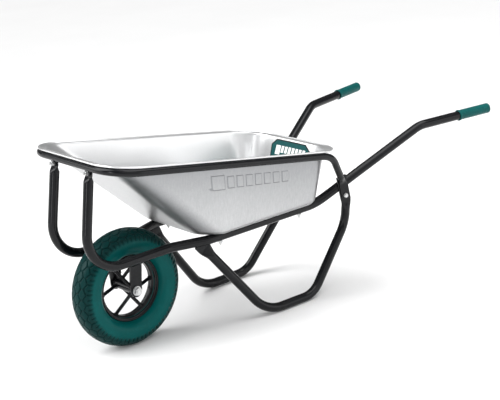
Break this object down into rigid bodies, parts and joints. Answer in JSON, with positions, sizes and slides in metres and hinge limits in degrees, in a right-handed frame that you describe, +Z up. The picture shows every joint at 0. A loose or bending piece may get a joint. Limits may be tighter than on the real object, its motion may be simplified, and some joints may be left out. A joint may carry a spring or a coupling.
{
  "type": "wheelbarrow",
  "caption": "Builder's wheelbarrow with a deep galvanised tray, a black tubular frame with leg loops, and a solid tyre on a spoked wheel.",
  "frame": {"origin": "on the ground under the middle of the whole wheelbarrow", "axes": "+X forward, from the grips to the wheel; +Y to the left of a person pushing it; +Z up"},
  "size_m": [1.648, 0.7178, 0.688],
  "materials": {
    "galvanised": "satin hot-dip galvanised sheet",
    "black_coat": "satin black powder coat",
    "zinc": "bright zinc plate",
    "tyre": "matt dark green solid foam",
    "grip": "satin green moulding",
    "bush": "matt nylon",
    "label": "matt film"
  },
  "bodies": {
    "frame": {"tray": "galvanised", "rim_tube": "black_coat", "main_tube_left": "black_coat", "main_tube_right": "black_coat", "leg_left": "black_coat", "leg_right": "black_coat", "rim_tab_left": "black_coat", "rim_tab_right": "black_coat", "fork_bracket_left": "black_coat", "fork_bracket_right": "black_coat", "axle_bolt": "zinc", "axle_nut": "zinc", "axle_washers": "zinc", "axle_spacers": "zinc", "tray_bolts": "zinc", "tray_washers": "zinc", "tray_nuts": "zinc", "post_bolts": "zinc", "post_washers": "zinc", "post_nuts": "zinc", "leg_bolts": "zinc", "leg_washers": "zinc", "leg_nuts": "zinc", "grip_left": "grip", "grip_right": "grip", "label": "label"},
    "wheel": {"tyre": "tyre", "wheel_rim": "black_coat", "spokes": "black_coat", "hub_tube": "black_coat", "hub_bush_left": "bush", "hub_bush_right": "bush"}
  },
  "joints": [
    {"name": "wheel_spin", "type": "hinge", "parent": "frame", "child": "wheel", "pos_m": [0.61905, 0, 0.2], "axis": [0, 1, 0], "continuous": true}
  ]
}
